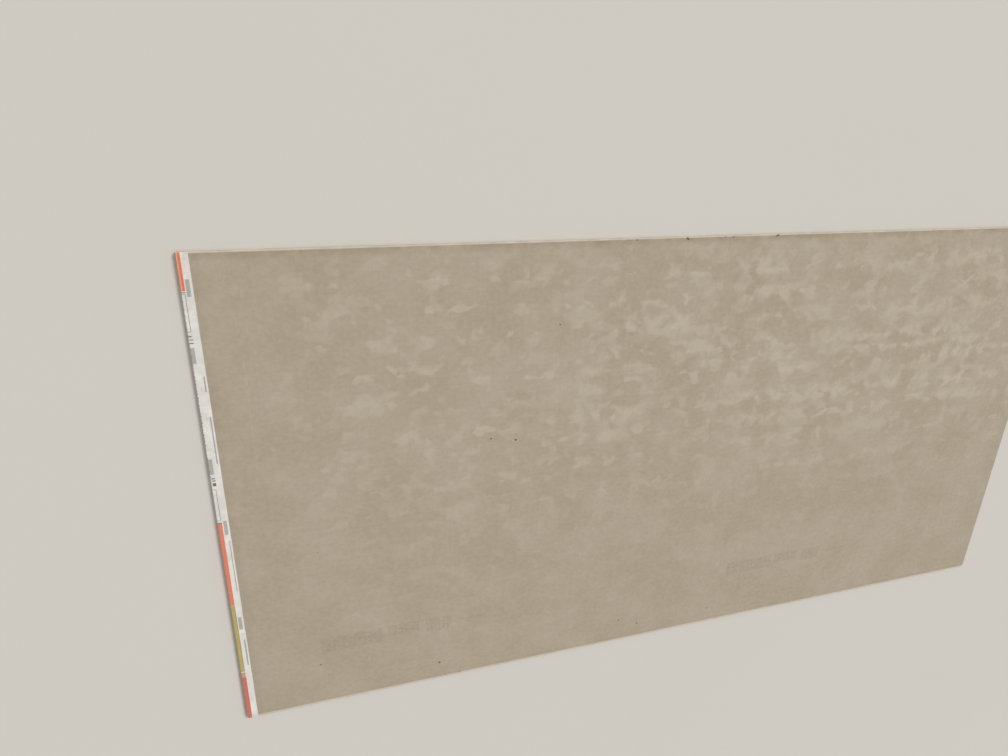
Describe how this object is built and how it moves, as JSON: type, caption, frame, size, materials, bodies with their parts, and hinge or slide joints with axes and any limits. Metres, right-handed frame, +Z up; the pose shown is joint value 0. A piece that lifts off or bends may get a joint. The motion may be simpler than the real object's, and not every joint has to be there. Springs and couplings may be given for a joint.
{
  "type": "drywall sheet",
  "caption": "Sheet of paper-faced gypsum drywall, tapered along both long edges, lying face down with printed tape over one end.",
  "frame": {"origin": "centre of the sheet's bounding box, on the level of the floor that it lies on", "axes": "+X along the sheet away from its taped end, +Y across it towards a long edge, +Z up out of its brown back"},
  "size_m": [2.4386, 1.2192, 0.0129],
  "materials": {
    "gypsum": "matte",
    "ivory_paper": "matte",
    "brown_paper": "matte",
    "printed_tape": "satin"
  },
  "bodies": {
    "root": {"gypsum_core": "gypsum", "face_paper": "ivory_paper", "back_paper": "brown_paper", "end_tape": "printed_tape"}
  },
  "joints": []
}
